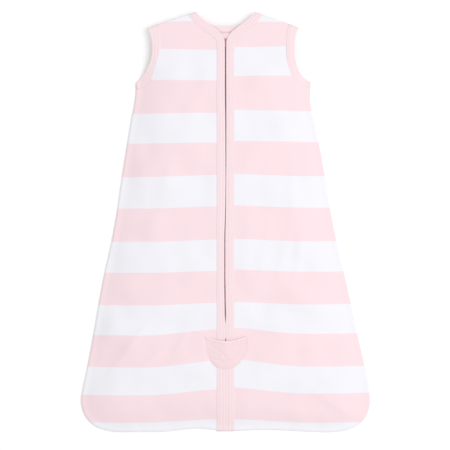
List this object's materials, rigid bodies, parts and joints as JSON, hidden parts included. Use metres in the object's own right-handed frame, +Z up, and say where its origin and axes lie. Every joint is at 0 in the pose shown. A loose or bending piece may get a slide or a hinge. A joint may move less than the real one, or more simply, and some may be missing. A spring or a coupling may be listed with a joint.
{
  "type": "baby sleeping bag",
  "caption": "Sleeveless baby sleeping bag in striped jersey with rib bindings, closed rounded hem, centre zip that closes downwards and a half-moon slider garage.",
  "frame": {"origin": "centre of the outline on the flat face that the bag lies on", "axes": "+Z up from the ground, away from the back panel; +Y to the neck; +X to the right of someone who looks at the front"},
  "size_m": [0.464, 0.6742, 0.0216],
  "materials": {
    "striped_jersey": "matt cotton jersey, 50 mm pink and white stripes",
    "rib": "matt cotton rib",
    "zip_tape": "matt woven tape",
    "zip_plastic": "satin",
    "painted_metal": "satin",
    "seam_thread": "matt overlocked edge",
    "label": "satin woven ribbon"
  },
  "bodies": {
    "bag": {"back_panel": "striped_jersey", "front_left_panel": "striped_jersey", "front_right_panel": "striped_jersey", "neck_binding_back": "rib", "neck_binding_left": "rib", "neck_binding_right_end": "rib", "back_neck_tape": "rib", "armhole_binding_left_front": "rib", "armhole_binding_left_back": "rib", "armhole_binding_right_front": "rib", "armhole_binding_right_back": "rib", "placket_left": "rib", "placket_right_lower": "rib", "shoulder_seam_left": "seam_thread", "shoulder_seam_right": "seam_thread", "side_seam_left": "seam_thread", "side_seam_right": "seam_thread", "hem_seam": "seam_thread", "zip_tape_left": "zip_tape", "zip_tape_right_lower": "zip_tape", "zip_chain_left": "zip_plastic", "zip_chain_right_lower": "zip_plastic", "zip_stop_left": "zip_plastic", "zip_stop_right": "zip_plastic", "zip_retainer_box": "zip_plastic", "zip_guard": "rib", "garage_cover": "rib", "garage_mouth_fold": "rib", "care_label_blank": "label"},
    "right_front": {"front_right_flap": "striped_jersey", "neck_binding_right": "rib", "placket_right": "rib", "zip_tape_right": "zip_tape", "zip_chain_right": "zip_plastic", "zip_insertion_pin": "zip_plastic"},
    "slider": {"slider_body": "painted_metal", "slider_bridge": "painted_metal"},
    "pull": {"pull_tab": "painted_metal"}
  },
  "joints": [
    {"name": "slider_travel", "type": "slide", "parent": "bag", "child": "slider", "axis": [0, 1, 0], "range_m": [0, 0.466], "deforming": ["zip_chain_left", "zip_chain_right", "zip_chain_right_lower"]},
    {"name": "pull_swing", "type": "hinge", "parent": "slider", "child": "pull", "pos_m": [0, -0.193, 0.0171], "axis": [-1, 0, 0], "range_deg": [0, 175], "deforming": ["garage_cover", "garage_mouth_fold"]},
    {"name": "right_front_fold", "type": "hinge", "parent": "bag", "child": "right_front", "pos_m": [0, -0.178, 0.0161], "axis": [0.0783, 0.9969, 0], "range_deg": [0, 165]}
  ]
}
